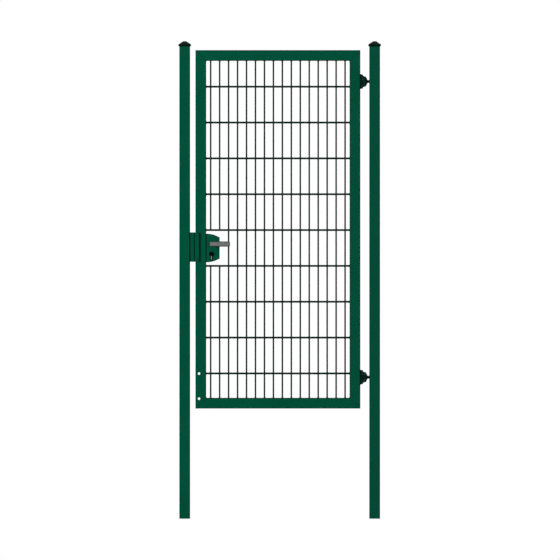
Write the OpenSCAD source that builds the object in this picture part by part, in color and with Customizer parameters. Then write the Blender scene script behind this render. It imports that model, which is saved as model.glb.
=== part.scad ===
/* [Opening] */
// Clear width between the two posts
opening_w = 1000; // [900:10:1300]
// Gap between the lock post and the leaf
lock_gap = 30; // [28:1:40]
// Gap between the leaf and the hinge post
hinge_gap = 50; // [50:1:60]

/* [Posts] */
// Side of the square post tube
post_w = 60; // [56:1:80]
// Wall of the post tube
post_wall = 2; // [1.5:0.5:4]
// Outside corner radius of the post tube
post_corner_r = 5; // [4.5:0.5:8]
// Post length below the leaf, most of it set in the ground
post_below = 615; // [400:5:900]
// Height of the post tube above the leaf
post_rise = 20; // [0:1:60]

/* [Post caps] */
// Overhang of the cap rim past the post on each side
cap_overhang = 6; // [3:0.5:8]
// Radius of the rounded rim
cap_rim_r = 8; // [5:0.5:10]
// Height of the cap above the post
cap_h = 30; // [22:1:45]
// Side of the small flat at the cap's peak
cap_flat = 16; // [8:1:24]
// Depth of the cap's plug inside the post
cap_plug_h = 22; // [12:1:40]
// Wall of the cap's plug
cap_wall = 3; // [2:0.5:5]

/* [Leaf frame] */
// Height of the leaf
leaf_h = 2000; // [1800:10:2300]
// Face width of the frame tube
tube_face = 60; // [50:1:70]
// Depth of the frame tube, front to back
tube_depth = 40; // [36:1:40]
// Wall of the frame tube
tube_wall = 2; // [1.5:0.5:3]
// Outside corner radius of the frame tube
tube_corner_r = 4; // [3.5:0.5:6]

/* [Mesh panel] */
// Thickness of the paired level rods
rod_d = 11; // [6:0.5:13]
// Thickness of the single uprights between the rods
upright_d = 9; // [5:0.5:11]
// Spacing of the uprights
upright_pitch = 50; // [46:1:60]
// Spacing of the rods
rod_pitch = 200; // [180:5:250]
// Height of the lowest rods above the bottom rail
rod_start = 136; // [60:1:180]
// How far a rod and an upright sink into each other at the weld
weld_sink = 1; // [0.9:0.1:1.5]

/* [Drop bolt holes] */
// Diameter of the two holes through the foot of the lock stile
drop_hole_d = 14; // [8:0.5:18]
// Distance of the holes from the stile's outer edge
drop_hole_edge = 20; // [15:1:30]
// Height of the lower hole above the leaf's foot
drop_hole_start = 55; // [40:1:100]
// Spacing of the two holes
drop_hole_pitch = 140; // [80:1:200]

/* [Lock] */
// Count of full mesh bays below the one that holds the lock
lower_bay_count = 3; // [1:1:5]
// Width of the lock case, from the stile to its rounded nose
case_w = 75; // [70:1:85]
// Height of the lock case at the stile
case_h = 160; // [150:1:164]
// Height of the lock case at its nose
nose_h = 118; // [100:1:130]
// Wall of the lock case
case_wall = 3; // [2:0.5:4]
// Thickness of each lock cover
cover_t = 3; // [2:0.5:4]
// Distance of the lever and cylinder axes from the stile
backset = 29; // [28:0.5:34]
// Distance between the lever axis and the cylinder axis
axes_pitch = 56; // [52:1:72]
// Distance of the cylinder's lower end from the lower edge of the case
cylinder_edge = 14.5; // [12:0.5:20]
// Thickness of the flush plate in the stile's edge
forend_t = 2; // [1.5:0.5:3]
// Width of the flush plate
forend_w = 22; // [20:1:26]
// Height of the flush plate
forend_h = 150; // [140:1:180]
// Thickness of the latch and the bolt, front to back
bolt_t = 12; // [8:1:14]
// Height of the latch and of the bolt
bolt_h = 30; // [24:1:34]
// Slope of the latch's nose, back from its tip
latch_slope = 9; // [5:0.5:14]
// Play around the latch and the bolt in their openings
bolt_play = 0.5; // [0.3:0.1:1]

/* [Lock cylinder] */
// Diameter of the round part of the cylinder
cylinder_d = 17; // [16:0.5:20]
// Width of the cylinder's web below the round part
web_w = 6; // [5:0.5:12]
// Overall height of the cylinder
cylinder_h = 40; // [33:1:42]
// How far the cylinder stands out of the covers
cylinder_proud = 4; // [3:0.5:6]
// Diameter of the turning plug
plug_d = 13; // [11:0.5:14]
// Diameter of the plug's cap on the cylinder's face
plug_cap_d = 22; // [15:0.5:24]
// Height of the key slot
key_h = 9; // [7:0.5:10]
// Width of the key slot
key_w = 2.2; // [1.5:0.1:3]
// Width of the collar around the cylinder
collar_w = 5; // [2:0.5:6]
// Thickness of the collar
collar_t = 2; // [1:0.5:3]

/* [Lever] */
// Length of the lever grip
lever_len = 114; // [90:1:130]
// Height of the lever grip
lever_h = 30; // [22:1:34]
// Thickness of the lever grip
lever_t = 14; // [13:0.5:18]
// Rounding of the grip's edges
lever_r = 6; // [4:0.5:6]
// Length of the grip behind the spindle
lever_heel = 10; // [9:0.5:14]
// Finger room between a lock cover and the grip
lever_room = 34; // [28:1:45]
// Diameter of the lever's neck
neck_d = 20; // [16:0.5:22]
// Diameter of the rose around the neck
rose_d = 28; // [27:1:40]
// Thickness of the rose
rose_t = 5; // [4:0.5:8]
// Rounding of the rose's rim
rose_r = 2; // [1:0.5:3.5]
// Side of the square spindle
spindle_side = 8; // [7:0.5:9]

/* [Keeper] */
// Height of the keeper
keeper_h = 164; // [150:1:200]
// Height of the keeper's middle above the lock's middle
keeper_lift = 5; // [0:1:10]
// Running gap between the keeper box and the leaf
keeper_clear = 6; // [5:0.5:8]
// Wall of the keeper box
keeper_wall = 3; // [2:0.5:4]
// Depth of the keeper box behind the leaf's middle plane
keeper_back = 20; // [16:1:28]
// Overlap of the stop flange in front of the leaf
stop_lap = 21; // [15:1:30]
// Thickness of the stop flange
stop_t = 4; // [3:0.5:5]
// Gap between the stop flange and the leaf's front face
stop_clear = 5; // [5:0.5:8]
// Step between the front of the keeper box and the flange
stop_step = 4; // [2:0.5:6]
// Room for the latch and the bolt in the keeper's slots
slot_room = 5; // [3:0.5:8]

/* [Hinges] */
// Distance of each hinge's middle from the end of the leaf
hinge_inset = 175; // [120:5:400]
// Height of the hinge foot on the stile
foot_h = 80; // [72:1:110]
// Thickness of the hinge foot
foot_t = 15; // [10:0.5:16]
// Width of the hinge foot, front to back
foot_w = 32; // [30:1:34]
// Chamfer on the ends of the foot
foot_chamfer = 3; // [1:0.5:5]
// Radius of the hinge ears about the pin
ear_r = 16.5; // [15:0.5:18]
// Distance of the round cheek's middle from the leaf's edge
cheek_x = 9; // [6:0.5:10]
// Diameter of the hinge pin
pin_d = 12; // [10:0.5:13]
// Diameter of the pin's heads
pin_head_d = 18; // [16:0.5:20]
// Thickness of the pin's heads
pin_head_t = 4; // [3:0.5:5]
// Thickness of each ear at the pin
ear_t = 11; // [9:0.5:12]
// Diameter of the eye on the post side
eye_d = 26; // [24:0.5:27]
// Height of the eye
eye_h = 26; // [24:0.5:28]
// Diameter of the eye's threaded shank
shank_d = 16; // [14:0.5:18]
// Shank length past the face of the post
shank_in = 34; // [25:1:45]
// Diameter of the threaded bush in the post
bush_d = 23; // [21:0.5:26]
// Length of the bush inside the post
bush_len = 24; // [15:1:35]
// How far the bush stands out of the post
bush_proud = 1; // [0.5:0.5:2]

/* [Hidden] */
// Facet count of true circles
$fn = 48;
// Sides of a mesh bar
bar_sides = 8;
// Play of a pin in its bore, on the radius
pin_play = 0.05;
// Play between pieces that only sit in each other
seat_play = 0.3;
// End play of the eye between the ears
eye_play = 0.1;
// Room between the eye and the yoke's web
web_room = 0.5;
// Overshoot of a cut past the surface it opens
over = 5;
FRONT = -1;
BACK = 1;
coat_green = [0.01, 0.31, 0.22];
dark_green = [0.04, 0.16, 0.12];
wire_green = [0.12, 0.22, 0.20];
grip_grey = [0.42, 0.45, 0.44];
nickel = [0.62, 0.63, 0.62];
black = [0.05, 0.05, 0.05];
zinc = [0.55, 0.57, 0.58];

leaf_w = opening_w - lock_gap - hinge_gap;
leaf_top = post_below + leaf_h;
post_top = leaf_top + post_rise;
hinge_face_x = -post_w / 2;
lock_face_x = hinge_face_x - opening_w;
lock_post_x = lock_face_x - post_w / 2;
leaf_x = lock_face_x + lock_gap;
axis_x = hinge_face_x - hinge_gap / 2;

inner_w = leaf_w - 2 * tube_face;
inner_h = leaf_h - 2 * tube_face;
upright_count = floor((inner_w + upright_d) / upright_pitch);
upright_start = tube_face + (inner_w - (upright_count - 1) * upright_pitch) / 2;
rod_count = floor((inner_h - rod_start - rod_d) / rod_pitch) + 1;
rod_y = (upright_d + rod_d) / 2 - weld_sink;
lock_z = rod_z(lower_bay_count) + rod_pitch / 2;

body_half = tube_depth / 2;
case_half = body_half - cover_t;
nose_drop = (case_h - nose_h) / 2;
case_r = (case_w * case_w + nose_drop * nose_drop) / (2 * nose_drop);
cylinder_down = case_h / 2 - cylinder_edge - (cylinder_h - cylinder_d / 2);
lever_up = axes_pitch - cylinder_down;
lever_z = lock_z + lever_up;
cylinder_z = lock_z - cylinder_down;
axes_x = tube_face + backset;
web_drop = cylinder_h - cylinder_d / 2 - web_w / 2;
spindle_hole_d = spindle_side * sqrt(2) + 4 * seat_play;
neck_in = body_half + seat_play;
grip_y = body_half + lever_room;
spindle_half = grip_y - over;

keeper_d = lock_gap - keeper_clear;
stop_y = -body_half - stop_clear - stop_t;
keeper_front = stop_y - stop_step;

axis_off = hinge_gap / 2;
cheek_r = axis_off + ear_r - cheek_x;
mouth_half = eye_h / 2 + eye_play;
pin_half = mouth_half + ear_t;
upper_hinge_z = leaf_top - hinge_inset;
lower_hinge_z = post_below + hinge_inset;

function rod_z(i) = tube_face + rod_start + i * rod_pitch;
function upright_x(i) = upright_start + i * upright_pitch;
function past_lock(i) = upright_x(i) - upright_d / 2 > tube_face + case_w + over;

// Rectangle with rounded corners about its middle
module rounded_rect(w, h, r) {
    square([w - 2 * r, h], center = true);
    square([w, h - 2 * r], center = true);
    for (sx = [-1, 1], sy = [-1, 1]) {
        translate([sx * (w / 2 - r), sy * (h / 2 - r)])
            circle(r = r);
    }
}

// Hollow tube standing on its end, middle on the axis
module tube(length, w, h, wall, r) {
    linear_extrude(height = length)
        difference() {
            rounded_rect(w, h, r);
            rounded_rect(w - 2 * wall, h - 2 * wall, r - wall);
        }
}

// Outline drawn in X and Z, given thickness from y0 to y1
module slab(y0, y1) {
    translate([0, y1, 0])
        rotate([90, 0, 0])
            linear_extrude(height = y1 - y0)
                children();
}

// The same between two distances from the middle plane, on one side of it
module side_slab(side, near, far) {
    slab(min(side * near, side * far), max(side * near, side * far))
        children();
}

// Moves a piece from the leaf's lower outer corner to its place in the gate
module in_leaf() {
    translate([leaf_x, 0, post_below])
        children();
}

// Moves a piece from a hinge's pin to its place in the gate
module at_hinge(z) {
    translate([axis_x, 0, z])
        children();
}

module post_tube() {
    tube(post_top, post_w, post_w, post_wall, post_corner_r);
}

module hinge_post() {
    color(coat_green)
        difference() {
            post_tube();
            for (z = [lower_hinge_z, upper_hinge_z]) {
                translate([hinge_face_x - over, 0, z])
                    rotate([0, 90, 0])
                        cylinder(d = bush_d + 2 * seat_play, h = post_w / 2);
            }
        }
}

module lock_post() {
    color(coat_green)
        translate([lock_post_x, 0, 0])
            post_tube();
}

// Rounded rim drawn up to a low pyramid, with a hollow plug below
module post_cap() {
    rim = post_w / 2 + cap_overhang - cap_rim_r;
    peak = cap_flat / 2;
    hull() {
        for (sx = [-1, 1], sy = [-1, 1]) {
            translate([sx * rim, sy * rim, cap_rim_r])
                sphere(r = cap_rim_r, $fn = 32);
            translate([sx * peak, sy * peak, cap_h - cap_rim_r / 2])
                sphere(r = cap_rim_r / 2, $fn = 16);
        }
        linear_extrude(height = cap_rim_r)
            square(post_w, center = true);
    }
    plug_w = post_w - 2 * post_wall - 2 * seat_play;
    translate([0, 0, -cap_plug_h])
        tube(cap_plug_h + cap_rim_r / 2, plug_w, plug_w, cap_wall, cap_wall + 1);
}

module hinge_post_cap() {
    color(black)
        translate([0, 0, post_top])
            post_cap();
}

module lock_post_cap() {
    color(black)
        translate([lock_post_x, 0, post_top])
            post_cap();
}

// Closed box on the lock post with a stop flange in front of the leaf, and slots for the latch and the bolt
module keeper() {
    depth = keeper_back - keeper_front;
    stop_wall = stop_step + stop_t;
    color(coat_green)
        translate([lock_face_x, 0, post_below + lock_z + keeper_lift])
            difference() {
                linear_extrude(height = keeper_h, center = true) {
                    translate([0, keeper_front])
                        square([keeper_d, depth]);
                    translate([0, stop_y])
                        square([lock_gap + stop_lap - stop_t / 2, stop_t]);
                    translate([lock_gap + stop_lap - stop_t / 2, stop_y + stop_t / 2])
                        circle(d = stop_t);
                }
                translate([keeper_wall, keeper_front + stop_wall, keeper_wall - keeper_h / 2])
                    cube([keeper_d - 2 * keeper_wall, depth - stop_wall - keeper_wall, keeper_h - 2 * keeper_wall]);
                for (z = [lever_up, -cylinder_down]) {
                    translate([keeper_d, 0, z - keeper_lift])
                        cube([2 * (keeper_wall + over), bolt_t + slot_room, bolt_h + slot_room], center = true);
                }
            }
}

// Forged eye about the pin, with its shank set into the post
module eye_bolt() {
    difference() {
        union() {
            cylinder(d = eye_d, h = eye_h, center = true);
            rotate([0, 90, 0])
                cylinder(d = shank_d, h = axis_off + shank_in);
            translate([eye_d / 4, 0, 0])
                rotate([0, 90, 0])
                    cylinder(d1 = eye_h - 1, d2 = shank_d, h = axis_off - eye_d / 4 - over);
        }
        cylinder(d = pin_d + 2 * pin_play, h = eye_h + 2 * over, center = true);
    }
}

module upper_eye_bolt() {
    color(dark_green)
        at_hinge(upper_hinge_z)
            eye_bolt();
}

module lower_eye_bolt() {
    color(dark_green)
        at_hinge(lower_hinge_z)
            eye_bolt();
}

// Threaded bush around the shank in the wall of the post
module post_bush() {
    translate([axis_off - bush_proud, 0, 0])
        rotate([0, 90, 0])
            difference() {
                cylinder(d = bush_d, h = bush_proud + bush_len);
                translate([0, 0, -over])
                    cylinder(d = shank_d + 2 * seat_play, h = bush_len + 3 * over);
            }
}

module upper_post_bush() {
    color(dark_green)
        at_hinge(upper_hinge_z)
            post_bush();
}

module lower_post_bush() {
    color(dark_green)
        at_hinge(lower_hinge_z)
            post_bush();
}

// Frame tube along Z from the leaf's edge, cut to a mitre at both ends
module mitred_tube(length) {
    far = tube_face + over;
    intersection() {
        translate([tube_face / 2, 0, 0])
            tube(length, tube_face, tube_depth, tube_wall, tube_corner_r);
        slab(-tube_depth, tube_depth)
            polygon([[-over, -over], [far, far], [far, length - far], [-over, length + over]]);
    }
}

// Frame tube along X on the leaf's foot
module rail() {
    translate([leaf_w, 0, 0])
        rotate([0, -90, 0])
            mitred_tube(leaf_w);
}

module bottom_rail() {
    color(coat_green)
        in_leaf()
            rail();
}

module top_rail() {
    color(coat_green)
        in_leaf()
            translate([leaf_w, 0, leaf_h])
                rotate([0, 180, 0])
                    rail();
}

module hinge_stile() {
    color(coat_green)
        in_leaf()
            translate([leaf_w, 0, 0])
                rotate([0, 0, 180])
                    mitred_tube(leaf_h);
}

module lock_stile() {
    gap = 2 * bolt_play;
    plate_gap = 2 * seat_play;
    color(coat_green)
        in_leaf()
            difference() {
                mitred_tube(leaf_h);
                for (i = [0, 1]) {
                    translate([drop_hole_edge, 0, drop_hole_start + i * drop_hole_pitch])
                        rotate([90, 0, 0])
                            cylinder(d = drop_hole_d, h = 2 * tube_depth, center = true);
                }
                translate([0, 0, lock_z])
                    cube([2 * over, forend_w + plate_gap, forend_h + plate_gap], center = true);
                for (z = [lever_z, cylinder_z]) {
                    translate([tube_face, 0, z])
                        cube([2 * over, bolt_t + gap, bolt_h + gap], center = true);
                }
            }
}

// Welded panel: single uprights between pairs of rods, two uprights cut short around the lock
module mesh_panel() {
    color(wire_green)
        in_leaf() {
            for (i = [0 : rod_count - 1], s = [FRONT, BACK]) {
                translate([tube_face, s * rod_y, rod_z(i)])
                    rotate([0, 90, 0])
                        bar(rod_d, inner_w);
            }
            for (i = [0 : upright_count - 1]) {
                if (past_lock(i)) {
                    upright(i, tube_face, leaf_h - tube_face);
                } else {
                    upright(i, tube_face, rod_z(lower_bay_count) + rod_d / 2);
                    upright(i, rod_z(lower_bay_count + 1) - rod_d / 2, leaf_h - tube_face);
                }
            }
        }
}

module bar(d, length) {
    rotate([0, 0, 180 / bar_sides])
        cylinder(d = d, h = length, $fn = bar_sides);
}

module upright(i, z0, z1) {
    translate([upright_x(i), 0, z0])
        bar(upright_d, z1 - z0);
}

// Cheek and ears that fork around the eye, hollowed to it, on a foot against the stile
module hinge_yoke() {
    foot = foot_h / 2;
    difference() {
        union() {
            translate([-axis_off, 0, 0])
                slab(-foot_w / 2, foot_w / 2)
                    polygon([
                        [0, -foot], [foot_t - foot_chamfer, -foot], [foot_t, foot_chamfer - foot],
                        [foot_t, foot - foot_chamfer], [foot_t - foot_chamfer, foot], [0, foot]
                    ]);
            intersection() {
                translate([cheek_x - axis_off, 0, 0])
                    slab(-tube_depth, tube_depth)
                        circle(r = cheek_r, $fn = 96);
                linear_extrude(height = foot_h, center = true) {
                    circle(r = ear_r);
                    translate([-axis_off, -foot_w / 2])
                        square([axis_off, foot_w]);
                }
            }
        }
        translate([-eye_d / 2, -tube_depth, -mouth_half])
            cube([2 * axis_off + eye_d, 2 * tube_depth, 2 * mouth_half]);
        cylinder(r = eye_d / 2 + web_room, h = 2 * mouth_half, center = true);
        cylinder(d = pin_d + 2 * pin_play, h = foot_h + 2 * over, center = true);
        for (s = [-1, 1]) {
            translate([0, 0, s * (pin_half + foot_h / 2)])
                cylinder(d = pin_head_d + 4 * seat_play, h = foot_h, center = true);
        }
    }
}

module upper_hinge_yoke() {
    color(dark_green)
        at_hinge(upper_hinge_z)
            hinge_yoke();
}

module lower_hinge_yoke() {
    color(dark_green)
        at_hinge(lower_hinge_z)
            hinge_yoke();
}

// Pin with a head above and below the ears
module hinge_pin() {
    cylinder(d = pin_d, h = 2 * pin_half, center = true);
    for (s = [-1, 1]) {
        translate([0, 0, s * (pin_half + pin_head_t / 2)])
            cylinder(d = pin_head_d, h = pin_head_t, center = true);
    }
}

module upper_hinge_pin() {
    color(dark_green)
        at_hinge(upper_hinge_z)
            hinge_pin();
}

module lower_hinge_pin() {
    color(dark_green)
        at_hinge(lower_hinge_z)
            hinge_pin();
}

// Outline of the lock: straight at the stile, bowed above and below to a narrower nose
module lock_outline(inset) {
    intersection() {
        translate([inset, -case_h / 2])
            square([case_w - 2 * inset, case_h]);
        for_arc(1, inset);
        for_arc(-1, inset);
    }
}

module for_arc(s, inset) {
    translate([0, s * (case_h / 2 - case_r)])
        circle(r = case_r - inset, $fn = 180);
}

// Outline of the cylinder about the plug's axis: a circle with a web hanging from it
module cylinder_outline(grow) {
    circle(d = cylinder_d + 2 * grow);
    translate([-web_w / 2 - grow, -web_drop])
        square([web_w + 2 * grow, web_drop]);
    translate([0, -web_drop])
        circle(d = web_w + 2 * grow);
}

module at_lock() {
    in_leaf()
        translate([tube_face, 0, lock_z])
            children();
}

module at_lever() {
    in_leaf()
        translate([axes_x, 0, lever_z])
            children();
}

module at_cylinder() {
    in_leaf()
        translate([axes_x, 0, cylinder_z])
            children();
}

module lock_case() {
    gap = 2 * bolt_play;
    color(coat_green)
        at_lock()
            difference() {
                slab(-case_half, case_half)
                    difference() {
                        lock_outline(0);
                        lock_outline(case_wall);
                    }
                for (z = [lever_up, -cylinder_down]) {
                    translate([0, 0, z])
                        cube([2 * over, bolt_t + gap, bolt_h + gap], center = true);
                }
            }
}

module lock_cover(side) {
    at_lock()
        side_slab(side, case_half, body_half)
            difference() {
                lock_outline(0);
                translate([backset, lever_up])
                    circle(d = spindle_hole_d);
                translate([backset, -cylinder_down])
                    cylinder_outline(seat_play);
            }
}

module front_lock_cover() {
    color(coat_green)
        lock_cover(FRONT);
}

module back_lock_cover() {
    color(coat_green)
        lock_cover(BACK);
}

// Plate let flush into the stile's outer edge, open for the latch and the bolt
module lock_forend() {
    gap = 2 * bolt_play;
    color(nickel)
        in_leaf()
            difference() {
                translate([0, -forend_w / 2, lock_z - forend_h / 2])
                    cube([forend_t, forend_w, forend_h]);
                for (z = [lever_z, cylinder_z]) {
                    translate([0, 0, z])
                        cube([2 * over, bolt_t + gap, bolt_h + gap], center = true);
                }
            }
}

// Bar drawn back flush with the forend, reaching into the lock case, its nose sloped on the stop side
module lock_bar(z, slope) {
    half = bolt_t / 2;
    length = tube_face + case_wall + 2 * over;
    in_leaf()
        translate([0, 0, z - bolt_h / 2])
            linear_extrude(height = bolt_h)
                polygon([[0, half], [length, half], [length, -half], [slope, -half]]);
}

module latch_bolt() {
    color(nickel)
        lock_bar(lever_z, latch_slope);
}

module dead_bolt() {
    color(nickel)
        lock_bar(cylinder_z, 0);
}

module lock_cylinder() {
    reach = body_half + cylinder_proud;
    color(nickel)
        at_cylinder()
            difference() {
                slab(-reach, reach)
                    cylinder_outline(0);
                rotate([90, 0, 0])
                    cylinder(d = plug_d + 2 * seat_play, h = 2 * tube_depth, center = true);
            }
}

// Turning plug with a round cap on the cylinder's face and a key slot
module plug(side) {
    reach = body_half + cylinder_proud;
    at_cylinder()
        difference() {
            union() {
                side_slab(side, over, reach)
                    circle(d = plug_d);
                side_slab(side, reach, reach + collar_t)
                    circle(d = plug_cap_d);
            }
            side_slab(side, reach - over, reach + over)
                square([key_w, key_h], center = true);
        }
}

module front_plug() {
    color(black)
        plug(FRONT);
}

module back_plug() {
    color(black)
        plug(BACK);
}

module collar(side) {
    at_cylinder()
        side_slab(side, body_half, body_half + collar_t)
            difference() {
                cylinder_outline(collar_w);
                cylinder_outline(seat_play);
            }
}

module front_collar() {
    color(black)
        collar(FRONT);
}

module back_collar() {
    color(black)
        collar(BACK);
}

// Ring turned about the neck, with a rounded outer rim
module rose(side) {
    bore_r = neck_d / 2 + seat_play;
    at_lever()
        rotate([-90 * side, 0, 0])
            translate([0, 0, body_half])
                rotate_extrude() {
                    translate([bore_r, 0])
                        square([rose_d / 2 - rose_r - bore_r, rose_t]);
                    translate([bore_r, 0])
                        square([rose_d / 2 - bore_r, rose_t - rose_r]);
                    intersection() {
                        translate([rose_d / 2 - rose_r, rose_t - rose_r])
                            circle(r = rose_r);
                        translate([bore_r, 0])
                            square([rose_d / 2 - bore_r, rose_t]);
                    }
                }
}

module front_rose() {
    color(black)
        rose(FRONT);
}

module back_rose() {
    color(black)
        rose(BACK);
}

// Grip with rounded edges on a round neck, socketed for the spindle
module lever(side) {
    socket = spindle_side + seat_play;
    at_lever() {
        difference() {
            side_slab(side, neck_in, grip_y + lever_t / 2)
                circle(d = neck_d);
            side_slab(side, 0, spindle_half + seat_play)
                square(socket, center = true);
        }
        hull() {
            for (x = [lever_r - lever_heel, lever_len - lever_heel - lever_r],
                 y = [grip_y + lever_r, grip_y + lever_t - lever_r],
                 z = [lever_r - lever_h / 2, lever_h / 2 - lever_r]) {
                translate([x, side * y, z])
                    sphere(r = lever_r, $fn = 24);
            }
        }
    }
}

module front_lever() {
    color(grip_grey)
        lever(FRONT);
}

module back_lever() {
    color(grip_grey)
        lever(BACK);
}

module lever_spindle() {
    color(zinc)
        at_lever()
            cube([spindle_side, 2 * spindle_half, spindle_side], center = true);
}

hinge_post();
lock_post();
hinge_post_cap();
lock_post_cap();
keeper();
upper_eye_bolt();
lower_eye_bolt();
upper_post_bush();
lower_post_bush();
top_rail();
bottom_rail();
lock_stile();
hinge_stile();
mesh_panel();
upper_hinge_yoke();
lower_hinge_yoke();
upper_hinge_pin();
lower_hinge_pin();
lock_case();
front_lock_cover();
back_lock_cover();
lock_forend();
latch_bolt();
dead_bolt();
lock_cylinder();
front_plug();
back_plug();
front_collar();
back_collar();
front_rose();
back_rose();
front_lever();
back_lever();
lever_spindle();
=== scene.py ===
"""Looks of a tubular frame gate: coats, welds, threads and fasteners, in a plain studio."""

import logging
import math
import random
from abc import ABC, abstractmethod
from collections.abc import Callable, Mapping, Sequence
from dataclasses import dataclass, field
from enum import Enum

import bmesh
import bpy
from mathutils import Matrix, Vector


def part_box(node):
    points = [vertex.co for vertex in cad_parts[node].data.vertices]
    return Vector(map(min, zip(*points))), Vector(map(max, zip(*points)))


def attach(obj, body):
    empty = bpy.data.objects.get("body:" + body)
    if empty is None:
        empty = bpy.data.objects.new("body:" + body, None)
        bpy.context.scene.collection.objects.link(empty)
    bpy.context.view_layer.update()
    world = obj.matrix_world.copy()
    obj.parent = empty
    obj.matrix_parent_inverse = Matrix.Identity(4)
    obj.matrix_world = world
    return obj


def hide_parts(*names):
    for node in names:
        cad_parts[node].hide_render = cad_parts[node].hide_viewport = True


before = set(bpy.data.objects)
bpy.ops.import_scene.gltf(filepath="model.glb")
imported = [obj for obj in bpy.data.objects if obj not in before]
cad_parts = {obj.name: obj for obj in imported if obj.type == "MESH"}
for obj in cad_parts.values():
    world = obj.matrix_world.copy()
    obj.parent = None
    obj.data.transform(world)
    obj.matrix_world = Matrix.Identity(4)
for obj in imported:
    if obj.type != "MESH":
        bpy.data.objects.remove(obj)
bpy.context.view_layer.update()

log = logging.getLogger("gate")

MM = 0.001
TURN = 2 * math.pi
MIDDLE = 0.5
WHITE = (1.0, 1.0, 1.0, 1.0)
RIGHT, UP, BACK = Vector((1, 0, 0)), Vector((0, 0, 1)), Vector((0, 1, 0))

Colour = tuple[float, float, float]
Point = tuple[float, float, float]


class Body(str, Enum):
    """The bodies that pieces ride on."""

    POSTS = "posts"
    LEAF = "leaf"
    LEVERS = "levers"


class Slot(str, Enum):
    """The record's material slots."""

    GREEN = "green_coat"
    HINGE = "hinge_coat"
    MESH = "mesh_coat"
    CAP = "cap_moulding"
    ZINC = "zinc"
    NICKEL = "nickel"
    PLUG = "plug_black"
    COLLAR = "collar_black"
    GRIP = "grip_grey"


class Side(Enum):
    """The two sides of the leaf, as signs along the depth."""

    FRONT = -1
    REAR = 1


class Sock:
    """A number on its way through a node tree; operators on it add Math nodes."""

    def __init__(self, tree: "NodeTree", socket: bpy.types.NodeSocket | None) -> None:
        """Keeps the socket and the tree that its next nodes go into."""
        self.tree = tree
        self.socket = socket

    def math(self, operation: str, *values: "Sock | float") -> "Sock":
        """Adds one Math node over the values."""
        return self.tree.node("ShaderNodeMath", {"operation": operation}, dict(enumerate(values)))

    def __add__(self, other: "Sock | float") -> "Sock":
        """Sum with another value."""
        return self.math("ADD", self, other)

    def __sub__(self, other: "Sock | float") -> "Sock":
        """Difference from another value."""
        return self.math("SUBTRACT", self, other)

    def __rsub__(self, other: "Sock | float") -> "Sock":
        """Another value less this one."""
        return self.math("SUBTRACT", other, self)

    def __mul__(self, other: "Sock | float") -> "Sock":
        """Product with another value."""
        return self.math("MULTIPLY", self, other)

    def __abs__(self) -> "Sock":
        """Size without its sign."""
        return self.math("ABSOLUTE", self)

    __radd__ = __add__
    __rmul__ = __mul__

    def step(self, low: float, high: float) -> "Sock":
        """Smooth rise from 0 at low to 1 at high."""
        return self.tree.node(
            "ShaderNodeMapRange", {"interpolation_type": "SMOOTHSTEP"}, {0: self, 1: low, 2: high}
        )


class NodeTree:
    """Adds nodes to the tree of a material or of the world."""

    # Leans of the normal that bound the mask of painted edge shade.
    SIDE_LEAN = (0.01, 0.12)
    FACE_LEAN = (0.975, 0.9998)

    def __init__(self, owner: bpy.types.Material | bpy.types.World) -> None:
        """Empties the owner's tree.

        Args:
            owner: material or world whose tree is filled.
        """
        owner.use_nodes = True
        self.tree = owner.node_tree
        self.tree.nodes.clear()

    def node(
        self,
        kind: str,
        settings: Mapping[str, object] | None = None,
        sockets: Mapping[int | str, object] | None = None,
        out: int | str = 0,
    ) -> Sock:
        """Adds one node.

        Args:
            kind: type of the node.
            settings: its properties, set first.
            sockets: values or links of its inputs, by index or name.
            out: the output to hand back.

        Returns:
            That output, wrapped.
        """
        made = self.tree.nodes.new(kind)
        for key, value in (settings or {}).items():
            setattr(made, key, value)
        for key, value in (sockets or {}).items():
            if isinstance(value, Sock):
                self.tree.links.new(value.socket, made.inputs[key])
            else:
                made.inputs[key].default_value = value
        return Sock(self, made.outputs[out] if made.outputs else None)

    def place(self) -> Sock:
        """Position on the piece in metres, in the row frame."""
        return self.node("ShaderNodeTexCoord", out="Object")

    def rounded(self) -> Sock:
        """Finds the edges that turn from the front or the back to a side, where finishes paint
        shade.

        Returns:
            1 on those edges and 0 on flat faces.
        """
        normal = self.node("ShaderNodeTexCoord", out="Normal")
        lean = abs(self.node("ShaderNodeSeparateXYZ", None, {0: normal}, out="Y"))
        return lean.step(*self.SIDE_LEAN) * (1 - lean.step(*self.FACE_LEAN))

    def stretched(self, vector: Sock, scale: Point) -> Sock:
        """A position scaled along each axis."""
        return self.node("ShaderNodeVectorMath", {"operation": "MULTIPLY"}, {0: vector, 1: scale})

    def noise(self, vector: Sock, scale: float, detail: float = 2.0) -> Sock:
        """Soft noise with scale features to the metre."""
        return self.node(
            "ShaderNodeTexNoise", None, {"Vector": vector, "Scale": scale, "Detail": detail}
        )

    def mix(self, factor: Sock, first: "Sock | Colour", second: "Sock | Colour") -> Sock:
        """A colour between two others.

        Args:
            factor: 0 for the first and 1 for the second.
            first: one colour or link.
            second: the other.

        Returns:
            The mixed colour.
        """
        ends = [end if isinstance(end, Sock) else (*end, 1.0) for end in (first, second)]
        return self.node(
            "ShaderNodeMix", {"data_type": "RGBA"}, {0: factor, 6: ends[0], 7: ends[1]}, out=2
        )

    def bump(self, height: Sock, depth: float) -> Sock:
        """A normal from a height of so many metres."""
        return self.node(
            "ShaderNodeBump", None, {"Strength": 1.0, "Distance": depth, "Height": height}
        )


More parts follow.
